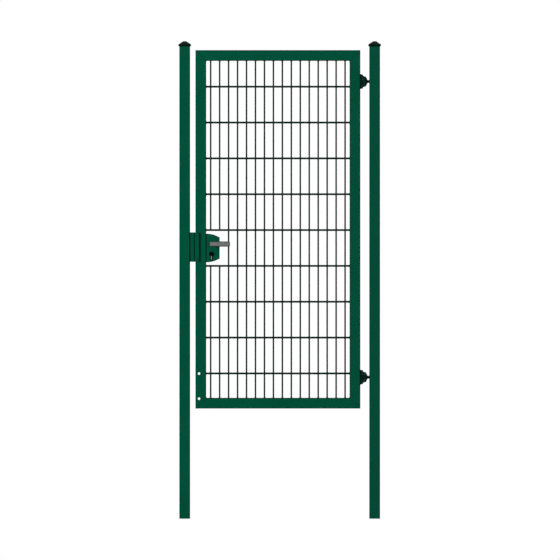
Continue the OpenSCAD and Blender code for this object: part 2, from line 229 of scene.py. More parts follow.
@dataclass(frozen=True)
class Finish(ABC):
    """What all finishes share: a slot, two tones, the shader's constants and how patterns mix."""

    slot: Slot
    tone: Colour
    shade: Colour
    rough: float
    gloss: float = 0.5
    gloss_tint: Colour = (1.0, 1.0, 1.0)
    metal: float = 0.0
    share: float = 0.5
    band: tuple[float, float] = (0.35, 0.65)
    swing: tuple[float, float] = (0.0, 0.0)

    def blend(self, first: Sock, second: Sock) -> Sock:
        """Two patterns in one, the first by the finish's share and the second by the rest."""
        return first * self.share + second * (1 - self.share)

    def toned(self, tree: NodeTree, first: Sock, second: Sock) -> Sock:
        """The two tones, mixed where the blend of two patterns lies in the finish's band."""
        return tree.mix(self.blend(first, second).step(*self.band), self.tone, self.shade)

    def gloss_swing(self, first: Sock, second: Sock) -> Sock:
        """Roughness that swings with two patterns about their middle."""
        return self.rough + (first - MIDDLE) * self.swing[0] + (second - MIDDLE) * self.swing[1]

    @abstractmethod
    def pattern(self, tree: NodeTree) -> Mapping[str, Sock]:
        """The shader's inputs that change over the surface.

        Args:
            tree: where the nodes go.

        Returns:
            Links by the name of the input.
        """

    def material(self) -> bpy.types.Material:
        """Builds the material of the finish.

        Returns:
            The new material.
        """
        made = bpy.data.materials.new(f"{self.slot.value}_finish")
        tree = NodeTree(made)
        constants = {
            "Metallic": self.metal,
            "Specular IOR Level": self.gloss,
            "Specular Tint": (*self.gloss_tint, 1.0),
        }
        shader = tree.node("ShaderNodeBsdfPrincipled", None, {**constants, **self.pattern(tree)})
        tree.node("ShaderNodeOutputMaterial", None, {"Surface": shader})
        return made


@dataclass(frozen=True)
class PowderCoat(Finish):
    """Baked powder: orange peel, faint clouds, and painted shade darkening its rounded edges."""

    share: float = 0.6
    band: tuple[float, float] = (0.36, 0.64)
    swing: tuple[float, float] = (0.16, 0.12)
    # Colour of the painted shade on rounded edges; the next field says how strongly it is mixed in.
    edge: Colour = (0.0, 0.0, 0.0)
    edge_shade_share: float = 0.5
    peel_scale: float = 620.0
    peel_depth: float = 0.00016
    cloud_scale: float = 5.0
    fleck_scale: float = 190.0

    def pattern(self, tree: NodeTree) -> Mapping[str, Sock]:
        """Clouds and flecks in the tone, painted shade on edges by the face's lean, peel in the
        normal.

        Args:
            tree: where the nodes go.

        Returns:
            Links by the name of the input.
        """
        at = tree.place()
        cloud = tree.noise(at, self.cloud_scale, detail=3.0)
        fleck = tree.noise(at, self.fleck_scale, detail=3.0)
        peel = tree.noise(at, self.peel_scale, detail=1.0)
        coat = self.toned(tree, cloud, fleck)
        return {
            # Painted shade: rounded edges are darkened towards the edge colour by the face's lean.
            "Base Color": tree.mix(tree.rounded() * self.edge_shade_share, coat, self.edge),
            "Roughness": self.gloss_swing(cloud, fleck),
            "Normal": tree.bump(peel, self.peel_depth),
        }


@dataclass(frozen=True)
class CastCoat(Finish):
    """Coat over a cast surface: pitted skin, with the tone rubbed lighter on the high spots."""

    band: tuple[float, float] = (0.42, 0.66)
    skin_scale: float = 330.0
    skin_depth: float = 0.00035
    skin_share: float = 0.7
    pit_scale: float = 150.0
    pit_rim: tuple[float, float] = (0.3, 0.45)
    pit_swing: float = 0.3

    def pattern(self, tree: NodeTree) -> Mapping[str, Sock]:
        """Skin and pits in the normal, and both in the tone.

        Args:
            tree: where the nodes go.

        Returns:
            Links by the name of the input.
        """
        at = tree.place()
        skin = tree.noise(at, self.skin_scale, detail=4.0)
        pit = tree.noise(at, self.pit_scale, detail=2.0)
        relief = skin * self.skin_share + pit.step(*self.pit_rim) * (1 - self.skin_share)
        return {
            "Base Color": self.toned(tree, skin, pit),
            "Roughness": self.rough + (MIDDLE - pit) * self.pit_swing,
            "Normal": tree.bump(relief, self.skin_depth),
        }


@dataclass(frozen=True)
class Moulding(Finish):
    """Moulded plastic with a fine spark grain and a slow change of gloss."""

    share: float = 0.7
    swing: tuple[float, float] = (0.14, 0.2)
    grain_scale: float = 1300.0
    grain_depth: float = 0.00008
    cloud_size: float = 20.0

    def pattern(self, tree: NodeTree) -> Mapping[str, Sock]:
        """Grain in the normal and the gloss, slow clouds in the tone.

        Args:
            tree: where the nodes go.

        Returns:
            Links by the name of the input.
        """
        at = tree.place()
        grain = tree.noise(at, self.grain_scale, detail=2.0)
        cloud = tree.noise(at, self.grain_scale / self.cloud_size, detail=3.0)
        return {
            "Base Color": self.toned(tree, cloud, grain),
            "Roughness": self.gloss_swing(cloud, grain),
            "Normal": tree.bump(grain, self.grain_depth),
        }


@dataclass(frozen=True)
class BrushedMetal(Finish):
    """Metal with fine lines along one direction, with painted shade over rounded edges."""

    share: float = 0.65
    band: tuple[float, float] = (0.34, 0.66)
    swing: tuple[float, float] = (0.3, 0.16)
    # Colour of the painted shade on rounded edges; the next field says how strongly it is mixed in.
    edge: Colour = (0.0, 0.0, 0.0)
    edge_shade_share: float = 0.0
    lines: Point = (1500.0, 1500.0, 40.0)
    line_depth: float = 0.00003
    cloud_scale: float = 70.0

    def pattern(self, tree: NodeTree) -> Mapping[str, Sock]:
        """Lines in tone, gloss and normal, over slow clouds, and painted shade on edges by the
        face's lean.

        Args:
            tree: where the nodes go.

        Returns:
            Links by the name of the input.
        """
        at = tree.place()
        line = tree.noise(tree.stretched(at, self.lines), 1.0, detail=2.0)
        cloud = tree.noise(at, self.cloud_scale, detail=3.0)
        brushed = self.toned(tree, line, cloud)
        return {
            # Painted shade: rounded edges are darkened towards the edge colour by the face's lean.
            "Base Color": tree.mix(tree.rounded() * self.edge_shade_share, brushed, self.edge),
            "Roughness": self.gloss_swing(line, cloud),
            "Normal": tree.bump(line, self.line_depth),
        }


@dataclass(frozen=True)
class Spangle(Finish):
    """Zinc plating with crystal patches of two greys."""

    share: float = 0.6
    swing: tuple[float, float] = (0.16, 0.3)
    patch_scale: float = 420.0
    bloom_scale: float = 120.0
    bloom_depth: float = 0.00004

    def pattern(self, tree: NodeTree) -> Mapping[str, Sock]:
        """A grey and a gloss for each patch, and a dulled bloom over them.

        Args:
            tree: where the nodes go.

        Returns:
            Links by the name of the input.
        """
        at = tree.place()
        patch = tree.node(
            "ShaderNodeTexVoronoi", None, {"Vector": at, "Scale": self.patch_scale}, out="Color"
        )
        grey = tree.node("ShaderNodeSeparateColor", None, {0: patch})
        bloom = tree.noise(at, self.bloom_scale, detail=3.0)
        return {
            "Base Color": tree.mix(self.blend(grey, bloom), self.tone, self.shade),
            "Roughness": self.gloss_swing(grey, bloom),
            "Normal": tree.bump((bloom + grey) * 0.5, self.bloom_depth),
        }


# Each edge colour and its share set the painted shade on that finish's rounded edges.
FINISHES = (
    PowderCoat(
        Slot.GREEN, (0.0006, 0.0628, 0.0305), (0.0009, 0.0711, 0.0348), 0.42,
        gloss=0.14, gloss_tint=(0.03, 1.0, 0.7), edge=(0.0003, 0.0034, 0.0022), edge_shade_share=0.96,
    ),
    PowderCoat(
        Slot.MESH, (0.0010, 0.0114, 0.0080), (0.0016, 0.0154, 0.0110), 0.5,
        gloss=0.06, gloss_tint=(0.2, 1.0, 0.8), peel_scale=900.0, peel_depth=0.0001,
        edge=(0.0005, 0.0045, 0.0034), edge_shade_share=0.5,
    ),
    CastCoat(
        Slot.HINGE, (0.0010, 0.0080, 0.0054), (0.0024, 0.0170, 0.0115), 0.5,
        gloss=0.10, gloss_tint=(0.3, 1.0, 0.8),
    ),
    Moulding(
        Slot.CAP, (0.0004, 0.0060, 0.0041), (0.0009, 0.0102, 0.0069), 0.5,
        gloss=0.05, gloss_tint=(0.15, 1.0, 0.8),
    ),
    Moulding(Slot.PLUG, (0.0010, 0.0012, 0.0012), (0.0020, 0.0024, 0.0024), 0.4, gloss=0.02),
    Moulding(Slot.COLLAR, (0.0014, 0.0022, 0.0019), (0.0026, 0.0038, 0.0034), 0.5, gloss=0.03),
    BrushedMetal(
        Slot.NICKEL, (0.140, 0.176, 0.160), (0.196, 0.238, 0.218), 0.38,
        metal=1.0, edge=(0.016, 0.020, 0.018), edge_shade_share=0.65,
    ),
    BrushedMetal(
        Slot.GRIP, (0.123, 0.138, 0.131), (0.172, 0.190, 0.181), 0.40,
        gloss=0.2, metal=0.5, edge=(0.014, 0.017, 0.016), edge_shade_share=0.75,
        lines=(30.0, 1200.0, 1200.0),
    ),
    Spangle(Slot.ZINC, (0.30, 0.31, 0.32), (0.46, 0.47, 0.47), 0.40, metal=1.0),
)


@dataclass
class Stock:
    """Points and faces of one piece, in millimetres, gathered form by form."""

    points: list[Vector] = field(default_factory=list)
    faces: list[tuple[int, ...]] = field(default_factory=list)

    def loft(self, rings: Sequence[Sequence[Vector]], loop: bool = False) -> None:
        """Skins rings of equal count.

        Args:
            rings: closed rings in order.
            loop: joins the last ring to the first, and otherwise both ends are capped.
        """
        base, count, total = len(self.points), len(rings[0]), len(rings)
        for ring in rings:
            self.points.extend(ring)
        for row in range(total if loop else total - 1):
            low, high = base + row * count, base + (row + 1) % total * count
            for i in range(count):
                j = (i + 1) % count
                self.faces.append((low + i, low + j, high + j, high + i))
        if not loop:
            self.faces.append(tuple(base + i for i in reversed(range(count))))
            self.faces.append(tuple(base + (total - 1) * count + i for i in range(count)))

    def lathe(
        self,
        profile: Sequence[tuple[float, float]],
        place: Matrix,
        steps: int = 32,
        reach: Callable[[float, float, int], float] | None = None,
        loop: bool = False,
    ) -> None:
        """Turns a profile about the local z axis of a place.

        Args:
            profile: radius and height of each ring.
            place: from the local axes to the row frame.
            steps: points in each ring.
            reach: changes a radius by its angle and the number of its ring.
            loop: closes the profile on itself.
        """
        rings = []
        for row, (radius, height) in enumerate(profile):
            ring = []
            for i in range(steps):
                angle = TURN * i / steps
                r = reach(radius, angle, row) if reach else radius
                ring.append(place @ Vector((r * math.cos(angle), r * math.sin(angle), height)))
            rings.append(ring)
        self.loft(rings, loop)

    def rod(
        self, start: Vector, end: Vector, radius: float, sides: int = 20, crown: float = 0.8
    ) -> None:
        """A round bar with its end edges broken.

        Args:
            start: middle of its first end.
            end: middle of its other end.
            radius: its radius.
            sides: points around it.
            crown: width of the broken edge.
        """
        length = (end - start).length
        inner = radius - crown
        profile = ((inner, 0), (radius, crown), (radius, length - crown), (inner, length))
        self.lathe(profile, placed(start, end - start), sides)

    def bead(
        self,
        path: Sequence[Vector],
        rise: Vector,
        width: float,
        height: float,
        chance: random.Random,
        loop: bool = False,
        sides: int = 10,
        ripple: float = 2.2,
    ) -> None:
        """A weld laid along a path in a plane.

        Args:
            path: points of its middle line.
            rise: normal of the plane that it lies on.
            width: half of its width in the plane.
            height: half of its height along rise.
            chance: where its uneven swells come from.
            loop: the path closes on itself.
            sides: points around it.
            ripple: length of one ripple.
        """
        wave, jitter, tip, taper = 0.1, 0.06, 0.35, 3
        count, run, rings = len(path), 0.0, []
        for i, point in enumerate(path):
            before = path[i - 1] if loop or i else point
            after = path[(i + 1) % count] if loop or i < count - 1 else point
            across = (after - before).cross(rise).normalized()
            run += (point - before).length if i else 0.0
            swell = 1 + wave * math.sin(TURN * run / ripple) + chance.uniform(-jitter, jitter)
            if not loop:
                swell *= tip + (1 - tip) * min(1.0, min(i, count - 1 - i) / taper)
            rings.append([
                point + (across * width * math.cos(a) + rise * height * math.sin(a)) * swell
                for a in (TURN * k / sides for k in range(sides))
            ])
        self.loft(rings, loop)

    def weld_ring(self, place: Matrix, radius: float, throat: float, chance: random.Random) -> None:
        """A fillet weld around a bar where it meets a face.

        Args:
            place: axes on the face, with z along the bar.
            radius: radius of the bar.
            throat: how far the weld reaches along the face and the bar.
            chance: where its uneven swells come from.
        """
        swollen, steady, inset, sunk = 0.09, 0.02, 0.5, 0.6
        phases = [chance.uniform(0, TURN) for _ in range(3)]

        def uneven(r: float, angle: float, row: int) -> float:
            """Swells the weld's outer rings by angle."""
            waves = sum(math.sin((n + 3) * angle + p) for n, p in enumerate(phases))
            return r + waves * throat * (swollen if row in (1, 2, 3) else steady)

        profile = (
            (radius - inset, -sunk), (radius + throat, -sunk),
            (radius + throat * 0.96, throat * 0.16), (radius + throat * 0.62, throat * 0.58),
            (radius + throat * 0.2, throat * 0.94), (radius - inset, throat),
        )
        self.lathe(profile, place, steps=22, reach=uneven, loop=True)

    def lens(self, centre: Vector, radii: Vector, rows: int = 6, steps: int = 12) -> None:
        """A squeezed-out drop with its poles along the depth.

        Args:
            centre: its middle.
            radii: its half axes.
            rows: bands of faces from pole to pole.
            steps: points in each ring.
        """
        profile, pole = [], 0.25
        for row in range(rows + 1):
            angle = math.pi * (row + pole) / (rows + 2 * pole) - math.pi / 2
            profile.append((math.cos(angle), math.sin(angle)))
        stretch = Matrix.Diagonal((radii.x, radii.z, radii.y, 1))
        self.lathe(profile, placed(centre, BACK) @ stretch, steps)

    def screw(self, place: Matrix, radius: float, height: float) -> None:
        """A low domed head with a six-sided socket.

        Args:
            place: axes on the face that it sits on, with z outwards.
            radius: radius of the head.
            height: how far it stands out.
        """
        flat, depth, sunk = radius * 0.4, height * 0.7, 0.4

        def socket(r: float, angle: float, row: int) -> float:
            """Bends the inner rings to six sides."""
            return flat / math.cos(angle % (TURN / 6) - TURN / 12) if row > 4 else r

        profile = (
            (radius * 0.96, -sunk), (radius, height * 0.25), (radius * 0.93, height * 0.62),
            (radius * 0.76, height * 0.92), (radius * 0.58, height), (flat, height),
            (flat, height - depth),
        )
        self.lathe(profile, place, steps=36, reach=socket)

    def thread(self, place: Matrix, crest: float, root: float, pitch: float, turns: float) -> None:
        """A single-start thread along the local z axis of a place.

        Args:
            place: axes at its first end.
            crest: outer radius.
            root: inner radius.
            pitch: rise of one turn.
            turns: how many turns it has.
        """
        per_turn, steep = 10, 1.25

        def helix(r: float, angle: float, row: int) -> float:
            """Radius of the flank at an angle."""
            share = (row / per_turn - angle / TURN) % 1.0
            return root + (crest - root) * min(1.0, steep * (1 - abs(2 * share - 1)))

        rows = int(turns * per_turn)
        profile = [(crest, pitch * row / per_turn) for row in range(rows + 1)]
        self.lathe(profile, place, steps=40, reach=helix)


def placed(origin: Vector, direction: Vector) -> Matrix:
    """Axes at an origin whose z looks along a direction.

    Args:
        origin: where the axes sit, in millimetres.
        direction: where local z points.

    Returns:
        The matrix from those axes to the row frame.
    """
    return Matrix.Translation(origin) @ direction.to_track_quat("Z", "Y").to_matrix().to_4x4()


def along(start: Vector, end: Vector, spacing: float = 1.1) -> list[Vector]:
    """Even points from start to end, both included.

    Args:
        start: first point.
        end: last point.
        spacing: wished distance between points.

    Returns:
        The points in order.
    """
    count = max(2, round((end - start).length / spacing))
    return [start.lerp(end, i / count) for i in range(count + 1)]


@dataclass(frozen=True)
class Rim:
    """A face at a depth whose outline is rounded more than the other edges, in millimetres."""

    y: float
    width: float
    heal: float = 0.002


class Workshop:
    """Turns stock and solids into dressed pieces that ride on their bodies."""

    CREASE = math.radians(42)
    SHARP = math.radians(32)
    FLAT = math.radians(0.6)
    NEAR = 0.05 * MM
    FACE_WEIGHT = 80

    def __init__(self, finishes: Sequence[Finish]) -> None:
        """Mixes each finish once."""
        self.materials = {finish.slot: finish.material() for finish in finishes}

    def dress(self, slot: Slot, *nodes: str) -> None:
        """Gives CAD nodes that stay as they are their finish.

        Args:
            slot: the finish.
            nodes: the CAD nodes.
        """
        for node in nodes:
            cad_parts[node].material_slots[0].material = self.materials[slot]
            log.info("dressed %s in %s", node, slot.value)

    def add(
        self, stock: Stock, name: str, body: Body, slot: Slot, *stands_for: str
    ) -> bpy.types.Object:
        """Makes a piece of gathered stock.

        Args:
            stock: its points and faces in millimetres.
            name: name of the piece.
            body: what it rides on.
            slot: its finish.
            stands_for: CAD nodes that it replaces.

        Returns:
            The new object.
        """
        mesh = bpy.data.meshes.new(name)
        mesh.from_pydata([p * MM for p in stock.points], [], stock.faces)
        shape = bmesh.new()
        shape.from_mesh(mesh)
        bmesh.ops.recalc_face_normals(shape, faces=shape.faces)
        shape.to_mesh(mesh)
        shape.free()
        mesh.shade_smooth()
        mesh.set_sharp_from_angle(angle=self.CREASE)
        return self.hang(mesh, name, body, slot, *stands_for)

    def hang(
        self, mesh: bpy.types.Mesh, name: str, body: Body, slot: Slot, *stands_for: str
    ) -> bpy.types.Object:
        """Links a mesh as a piece of the object.

        Args:
            mesh: its mesh, in metres in the row frame.
            name: name of the piece.
            body: what it rides on.
            slot: its finish.
            stands_for: CAD nodes that it replaces.

        Returns:
            The new object.
        """
        piece = bpy.data.objects.new(name, mesh)
        bpy.context.scene.collection.objects.link(piece)
        mesh.materials.clear()
        mesh.materials.append(self.materials[slot])
        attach(piece, body.value)
        if stands_for:
            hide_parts(*stands_for)
        log.info("made %s on %s: %d faces", name, body.value, len(mesh.polygons))
        return piece

    def sharp(self, shape: bmesh.types.BMesh) -> list[bmesh.types.BMEdge]:
        """Edges where two faces meet at a marked angle."""
        return [e for e in shape.edges if e.is_manifold and e.calc_face_angle() > self.SHARP]

    def outline(self, edges: Sequence[bmesh.types.BMEdge]) -> list[bmesh.types.BMEdge]:
        """The longest of the runs that edges form.

        Args:
            edges: edges of an outline and of the holes in it.

        Returns:
            Those of the outline alone.
        """
        left, runs = dict.fromkeys(edges), []
        while left:
            run, ends = [], [left.popitem()[0]]
            while ends:
                edge = ends.pop()
                run.append(edge)
                near = [e for v in edge.verts for e in v.link_edges if e in left]
                for e in near:
                    del left[e]
                ends += near
            runs.append(run)
        return max(runs, key=lambda run: sum(e.calc_length() for e in run))

    def bevel(
        self,
        shape: bmesh.types.BMesh,
        edges: Sequence[bmesh.types.BMEdge],
        width: float,
        segments: int,
    ) -> None:
        """Rounds edges of a shape.

        Args:
            shape: what the edges are on.
            edges: the edges.
            width: width of the rounding in millimetres.
            segments: rows of faces across it.
        """
        bmesh.ops.bevel(
            shape, geom=edges, offset=width * MM, segments=segments, profile=0.5,
            affect="EDGES", clamp_overlap=True,
        )

    def soften(
        self,
        node: str,
        body: Body,
        slot: Slot,
        width: float,
        segments: int = 3,
        cut: Callable[[bmesh.types.BMesh], None] | None = None,
        rims: Sequence[Rim] = (),
    ) -> bpy.types.Object:
        """Stands in for a CAD node with the same shape, its sharp edges broken.

        Args:
            node: the CAD node.
            body: what the piece rides on.
            slot: its finish.
            width: width of the broken edge in millimetres.
            segments: rows of faces across that edge.
            cut: takes material off before the edges are broken.
            rims: faces whose outline is rounded more, once edges below their heal are closed.

        Returns:
            The new object.
        """
        shape = bmesh.new()
        shape.from_mesh(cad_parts[node].data)
        heal = max((rim.heal for rim in rims), default=Rim.heal)
        bmesh.ops.remove_doubles(shape, verts=shape.verts, dist=heal * MM)
        bmesh.ops.dissolve_limit(
            shape, angle_limit=self.FLAT, verts=shape.verts, edges=shape.edges
        )
        if cut:
            cut(shape)
        for rim in rims:
            near = [
                e for e in self.sharp(shape)
                if all(abs(v.co.y - rim.y * MM) < self.NEAR for v in e.verts)
            ]
            self.bevel(shape, self.outline(near), rim.width, 2 * segments)
        self.bevel(shape, self.sharp(shape), width, segments)
        bmesh.ops.recalc_face_normals(shape, faces=shape.faces)
        mesh = bpy.data.meshes.new(f"{node}_finished")
        shape.to_mesh(mesh)
        shape.free()
        mesh.shade_smooth()
        piece = self.hang(mesh, f"{node}_finished", body, slot, node)
        even = piece.modifiers.new("even_shading", "WEIGHTED_NORMAL")
        even.weight = self.FACE_WEIGHT
        return piece


class SubAssembly(ABC):
    """A group of pieces that is built and dressed together."""

    @abstractmethod
    def build(self, shop: Workshop) -> None:
        """Makes and dresses the pieces.

        Args:
            shop: the workshop with the finishes.
        """


@dataclass
class PostPair(SubAssembly):
    """Two square posts and their moulded pyramid caps."""

    rim_half: float = 28.0
    rim_r: float = 7.94
    rim_from: float = -60.0
    rim_turn: float = 11.0
    rim_rings: int = 12
    rim_corner: float = 0.6
    foot_in: float = 1.0
    foot_out: float = 2.2
    foot_lift: float = 0.05
    peak_half: float = 8.0
    peak_r: float = 4.0
    peak_from: float = 66.0
    peak_turn: float = 4.0
    peak_rings: int = 6
    peak_corner: float = 2.4
    top_half: float = 4.0
    top_corner: float = 2.0
    height: float = 30.0
    corner_steps: int = 8

    def ring(self, centre: Vector, half: float, corner: float, z: float) -> list[Vector]:
        """A square ring with round corners.

        Args:
            centre: middle of the cap's foot.
            half: half of the ring's side.
            corner: radius of its corners.
            z: its height above the foot.

        Returns:
            Points of the ring.
        """
        points = []
        for quarter in range(4):
            start = quarter * TURN / 4
            sx, sy = (1, -1, -1, 1)[quarter], (1, 1, -1, -1)[quarter]
            for i in range(self.corner_steps + 1):
                angle = start + TURN / 4 * i / self.corner_steps
                points.append(centre + Vector((
                    sx * (half - corner) + corner * math.cos(angle),
                    sy * (half - corner) + corner * math.sin(angle),
                    z,
                )))
        return points

    def cap(self, centre: Vector) -> Stock:
        """The cap over a post.

        Args:
            centre: middle of the post's top.

        Returns:
            The cap's stock.
        """
        sizes = [
            (self.rim_half - self.foot_in, self.foot_in, self.foot_lift),
            (self.rim_half + self.foot_out, self.foot_out, self.foot_lift),
        ]
        for i in range(1, self.rim_rings + 1):
            angle = math.radians(self.rim_from + self.rim_turn * i)
            reach = self.rim_r * math.cos(angle)
            rise = self.rim_r * (1 + math.sin(angle))
            sizes.append((self.rim_half + reach, reach + self.rim_corner, rise))
        for i in range(self.peak_rings):
            angle = math.radians(self.peak_from + self.peak_turn * i)
            reach = self.peak_r * math.cos(angle)
            rise = self.height - self.peak_r * (1 - math.sin(angle))
            sizes.append((self.peak_half + reach, reach + self.peak_corner, rise))
        sizes.append((self.top_half, self.top_corner, self.height))
        stock = Stock()
        stock.loft([self.ring(centre, *size) for size in sizes])
        return stock

    def build(self, shop: Workshop) -> None:
        """Dresses the posts and makes the caps.

        Args:
            shop: the workshop with the finishes.
        """
        shop.dress(Slot.GREEN, "hinge_post", "lock_post")
        for node in ("hinge_post_cap", "lock_post_cap"):
            low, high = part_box(node)
            middle = (low + high) / 2 / MM
            foot = Vector((middle.x, middle.y, high.z / MM - self.height))
            shop.add(self.cap(foot), f"{node}_moulding", Body.POSTS, Slot.CAP, node)


@dataclass
class LeafFrame(SubAssembly):
    """Four mitred tubes with ground welds over the mitres and full welds in the inner corners."""

    seam_width: float = 2.6
    seam_height: float = 0.24
    corner_weld: float = 3.2
    set_back: float = 4.0
    outer_trim: float = 1.4
    seed: int = 11

    def build(self, shop: Workshop) -> None:
        """Dresses the tubes and lays the welds.

        Args:
            shop: the workshop with the finishes.
        """
        shop.dress(Slot.GREEN, "top_rail", "bottom_rail", "hinge_stile", "lock_stile")
        outer_low, outer_high = (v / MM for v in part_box("bottom_rail"))
        outer_high.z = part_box("top_rail")[1].z / MM
        inner_low, inner_high = (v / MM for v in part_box("mesh_panel"))
        chance = random.Random(self.seed)
        seams, corners = Stock(), Stock()
        for outer_x, inner_x in ((outer_low.x, inner_low.x), (outer_high.x, inner_high.x)):
            for outer_z, inner_z in ((outer_low.z, inner_low.z), (outer_high.z, inner_high.z)):
                for face in (outer_low.y, outer_high.y):
                    inner = Vector((inner_x, face, inner_z))
                    outer = Vector((outer_x, face, outer_z))
                    trim = (outer - inner).normalized() * self.set_back
                    path = along(inner + trim, outer - trim * self.outer_trim)
                    seams.bead(path, BACK, self.seam_width, self.seam_height, chance)
                depth = outer_high.y - self.set_back
                path = along(Vector((inner_x, -depth, inner_z)), Vector((inner_x, depth, inner_z)))
                corners.bead(path, UP, self.corner_weld, self.corner_weld, chance)
        shop.add(seams, "frame_mitre_welds", Body.LEAF, Slot.GREEN)
        shop.add(corners, "frame_corner_welds", Body.LEAF, Slot.GREEN)


@dataclass
class MeshPanel(SubAssembly):
    """Welded panel: single uprights between pairs of level rods, two cut short at the lock."""

    rod_r: float = 5.5
    upright_r: float = 4.5
    sink: float = 1.0
    rod_z: float = 811.0
    rod_pitch: float = 200.0
    rod_count: int = 9
    upright_x: float = -915.0
    upright_pitch: float = 50.0
    upright_count: int = 16
    cut_count: int = 2
    bay_below_lock: int = 3
    throat: float = 2.4
    spot_depth: float = 2.3
    spot_wide: tuple[float, float] = (1.12, 1.26)
    spot_tall: tuple[float, float] = (1.0, 1.1)
    seed: int = 5

    def heights(self) -> list[float]:
        """Heights of the rods."""
        return [self.rod_z + i * self.rod_pitch for i in range(self.rod_count)]

    def places(self) -> list[float]:
        """Positions of the uprights along the leaf."""
        return [self.upright_x + i * self.upright_pitch for i in range(self.upright_count)]

    def build(self, shop: Workshop) -> None:
        """Lays the wires, the welds at their crossings and those at the frame.

        Args:
            shop: the workshop with the finishes.
        """
        low, high = (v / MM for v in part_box("mesh_panel"))
        chance = random.Random(self.seed)
        wires, spots, ends = Stock(), Stock(), Stock()
        depth = self.rod_r + self.upright_r - self.sink
        for z in self.heights():
            for side in Side:
                y = side.value * depth
                left, right = Vector((low.x, y, z)), Vector((high.x, y, z))
                wires.rod(left, right, self.rod_r)
                ends.weld_ring(placed(left, RIGHT), self.rod_r, self.throat, chance)
                ends.weld_ring(placed(right, -RIGHT), self.rod_r, self.throat, chance)
        sill, lintel = self.heights()[self.bay_below_lock : self.bay_below_lock + 2]
        for i, x in enumerate(self.places()):
            foot, head = Vector((x, 0, low.z)), Vector((x, 0, high.z))
            if i < self.cut_count:
                wires.rod(foot, Vector((x, 0, sill + self.rod_r)), self.upright_r)
                wires.rod(Vector((x, 0, lintel - self.rod_r)), head, self.upright_r)
            else:
                wires.rod(foot, head, self.upright_r)
            ends.weld_ring(placed(foot, UP), self.upright_r, self.throat, chance)
            ends.weld_ring(placed(head, -UP), self.upright_r, self.throat, chance)
            for z in self.heights():
                for side in Side:
                    wide = chance.uniform(*self.spot_wide)
                    tall = chance.uniform(*self.spot_tall)
                    spots.lens(
                        Vector((x, side.value * (self.upright_r - self.sink / 2), z)),
                        Vector((self.upright_r * wide, self.spot_depth, self.rod_r * tall)),
                    )
        shop.add(wires, "mesh_wires", Body.LEAF, Slot.MESH, "mesh_panel")
        shop.add(spots, "mesh_spot_welds", Body.LEAF, Slot.MESH)
        shop.add(ends, "mesh_end_welds", Body.LEAF, Slot.MESH)


@dataclass
class HingeSet(SubAssembly):
    """Two eye hinges: forked yoke on the leaf, pin, and an eye with its shank in the post."""

    axis_x: float = -55.0
    heights: tuple[tuple[str, float], ...] = (("lower", 790.0), ("upper", 2440.0))
    pin_r: float = 6.0
    head_r: float = 9.0
    head_from: float = 24.1
    head_to: float = 28.1
    crown: tuple[tuple[float, float], ...] = (
        (0.15, 0), (0.45, 0.06), (0.72, 0.2), (0.9, 0.42), (0.98, 0.66), (1.0, 0.8), (0.96, 1.0),
    )
    neck_end: float = -36.0
    thread_lap: float = 1.0
    shank_r: float = 8.0
    thread_root: float = 7.1
    pitch: float = 2.0
    turns: float = 14.0
    foot_x: float = -80.0
    foot_half_y: float = 16.0
    foot_half_z: float = 40.0
    foot_corner: float = 2.0
    foot_steps: int = 4
    foot_weld: float = 2.6
    yoke_edge: float = 0.5
    eye_edge: float = 0.4
    bush_edge: float = 0.3
    seed: int = 23

    def pin(self, z: float) -> Stock:
        """A pin with a domed head at each end.

        Args:
            z: height of its middle.

        Returns:
            The pin's stock.
        """
        thick = self.head_to - self.head_from
        head = [(self.head_r * r, self.head_to - thick * h) for r, h in self.crown]
        profile = head + [(self.pin_r, self.head_from)]
        profile += [(r, -h) for r, h in reversed(profile)]
        stock = Stock()
        stock.lathe(profile, Matrix.Translation((self.axis_x, 0, z)), steps=40)
        return stock

    def foot_path(self, z: float) -> list[Vector]:
        """The line around the foot of a yoke, with rounded corners.

        Args:
            z: height of the foot's middle.

        Returns:
            Even points of the closed line.
        """
        points, r = [], self.foot_corner
        wide, tall = self.foot_half_y - r, self.foot_half_z - r
        for quarter in range(4):
            sy, sz = (1, -1, -1, 1)[quarter], (1, 1, -1, -1)[quarter]
            corner = Vector((self.foot_x, sy * wide, z + sz * tall))
            for i in range(self.foot_steps + 1):
                angle = TURN / 4 * (quarter + i / self.foot_steps)
                points.append(corner + Vector((0, math.cos(angle), math.sin(angle))) * r)
        path: list[Vector] = []
        for i, point in enumerate(points):
            path += along(point, points[(i + 1) % len(points)])[:-1]
        return path

    def clear_shank(self, shape: bmesh.types.BMesh) -> None:
        """Cuts a copied eye bolt off where its thread starts.

        Args:
            shape: the copy, in metres.
        """
        cut = bmesh.ops.bisect_plane(
            shape, geom=[*shape.verts, *shape.edges, *shape.faces],
            plane_co=RIGHT * self.neck_end * MM, plane_no=RIGHT, clear_outer=True,
        )
        rim = [e for e in cut["geom_cut"] if isinstance(e, bmesh.types.BMEdge)]
        bmesh.ops.edgeloop_fill(shape, edges=rim)

    def build(self, shop: Workshop) -> None:
        """Makes both hinges.

        Args:
            shop: the workshop with the finishes.
        """
        chance = random.Random(self.seed)
        for name, z in self.heights:
            shop.soften(f"{name}_hinge_yoke", Body.LEAF, Slot.HINGE, self.yoke_edge)
            shop.add(self.pin(z), f"{name}_pin_turned", Body.LEAF, Slot.HINGE, f"{name}_hinge_pin")
            eye = f"{name}_eye_bolt"
            shop.soften(eye, Body.POSTS, Slot.HINGE, self.eye_edge, cut=self.clear_shank)
            shank = Stock()
            start = placed(Vector((self.neck_end - self.thread_lap, 0, z)), RIGHT)
            shank.thread(start, self.shank_r, self.thread_root, self.pitch, self.turns)
            shop.add(shank, f"{name}_eye_thread", Body.POSTS, Slot.HINGE)
            shop.soften(f"{name}_post_bush", Body.POSTS, Slot.HINGE, self.bush_edge)
            weld = Stock()
            weld.bead(self.foot_path(z), RIGHT, self.foot_weld, self.foot_weld, chance, loop=True)
            shop.add(weld, f"{name}_foot_weld", Body.LEAF, Slot.HINGE)


